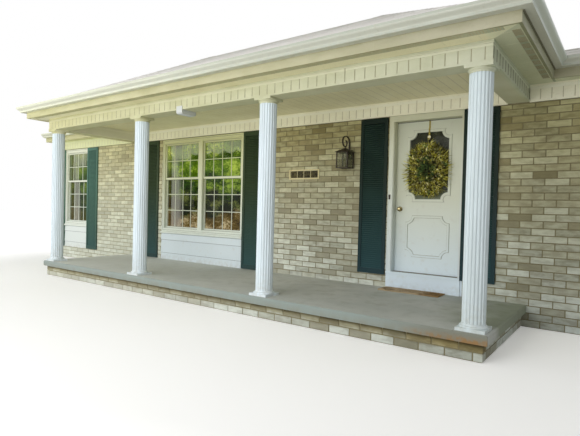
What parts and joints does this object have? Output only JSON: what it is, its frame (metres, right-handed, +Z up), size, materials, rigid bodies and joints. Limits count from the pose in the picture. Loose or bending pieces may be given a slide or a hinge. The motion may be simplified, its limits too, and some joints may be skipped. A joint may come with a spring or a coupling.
{
  "type": "front porch",
  "caption": "Raised front porch with fluted columns, a hipped roof with gutters, and its brick house wall with an inswing door, windows, shutters and a lantern.",
  "frame": {"origin": "on the ground, under the brick face of the house wall, at the middle of the porch", "axes": "+X along the wall to the right as seen from the front, +Y into the house, +Z up"},
  "size_m": [11.73, 2.376, 4.0945],
  "materials": {
    "brick": "matt, pitted",
    "concrete": "brushed",
    "column_paint": "satin",
    "trim_paint": "satin",
    "shingles": "rough",
    "boarding": "raw",
    "white_paint": "satin paint",
    "pane": "clear",
    "shutter_paint": "satin paint",
    "brass": "polished",
    "bronze": "satin",
    "plaque_paint": "glazed",
    "tile": "glossy",
    "lamp_white": "matt",
    "coir": "coarse",
    "dried_flowers": "loose",
    "button_black": "matt"
  },
  "bodies": {
    "porch": {"brick_base": "brick", "porch_slab": "concrete", "column_shafts": "column_paint", "column_feet": "column_paint", "column_heads": "column_paint", "front_beam": "trim_paint", "side_beams": "trim_paint", "porch_ceiling": "trim_paint", "front_soffits": "trim_paint", "side_soffits": "trim_paint", "front_fascias": "trim_paint", "side_fascias": "trim_paint", "front_gutters": "trim_paint", "side_gutters": "trim_paint", "front_roof": "shingles", "side_roofs": "shingles", "house_roofs": "shingles", "roof_back": "boarding", "eave_ends": "trim_paint", "wall_plinth": "brick", "brick_walls": "brick", "wall_head": "brick", "wall_friezes": "trim_paint", "under_window_walls": "brick", "siding_panels": "white_paint", "window_frames": "white_paint", "window_sashes": "white_paint", "window_glass": "pane", "shutter_frames": "shutter_paint", "shutter_louvres": "shutter_paint", "door_jambs": "white_paint", "door_head": "white_paint", "door_sill": "white_paint", "jamb_hinges": "brass", "doorbell": "button_black", "lantern_cage": "bronze", "lantern_glass": "pane", "lantern_bracket": "bronze", "plaque_frame": "plaque_paint", "plaque_tiles": "tile", "beam_light": "lamp_white", "doormat": "coir"},
    "door": {"door_leaf": "white_paint", "door_glass": "pane", "door_mouldings": "white_paint", "door_knob": "brass", "leaf_hinges": "brass", "wreath": "dried_flowers", "wreath_hanger": "brass"}
  },
  "joints": [
    {"name": "door_hinge", "type": "hinge", "parent": "porch", "child": "door", "pos_m": [3.0125, 0.152, 0.48], "axis": [0, 0, -1], "range_deg": [0, 105]}
  ]
}
